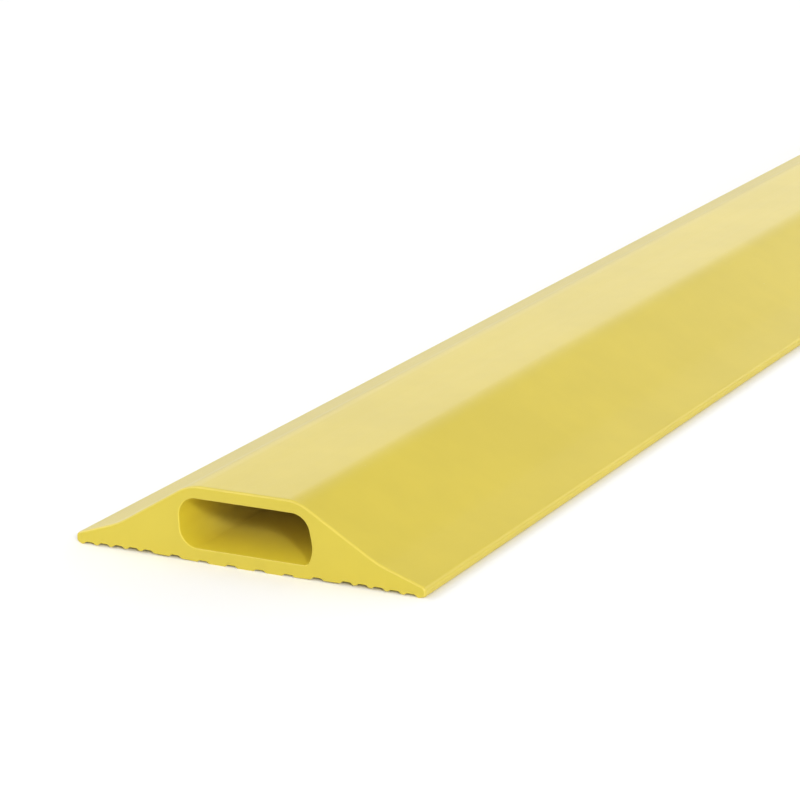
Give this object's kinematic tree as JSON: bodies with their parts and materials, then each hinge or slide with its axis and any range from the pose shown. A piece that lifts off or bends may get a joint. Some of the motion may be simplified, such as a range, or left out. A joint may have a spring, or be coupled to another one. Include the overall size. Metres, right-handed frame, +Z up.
{
  "type": "rubber cable cover",
  "caption": "Floor cable cover strip: one extruded rubber section with a flat top, side ramps with thin wings, a closed cable channel and a grooved underside.",
  "frame": {"origin": "on the floor, under the middle of the cover's length and width", "axes": "+Y along the cover, +X across it, +Z up from the floor"},
  "size_m": [0.083, 1, 0.0165],
  "materials": {
    "yellow_rubber": "satin, coloured through"
  },
  "bodies": {
    "root": {"cable_cover": "yellow_rubber"}
  },
  "joints": []
}
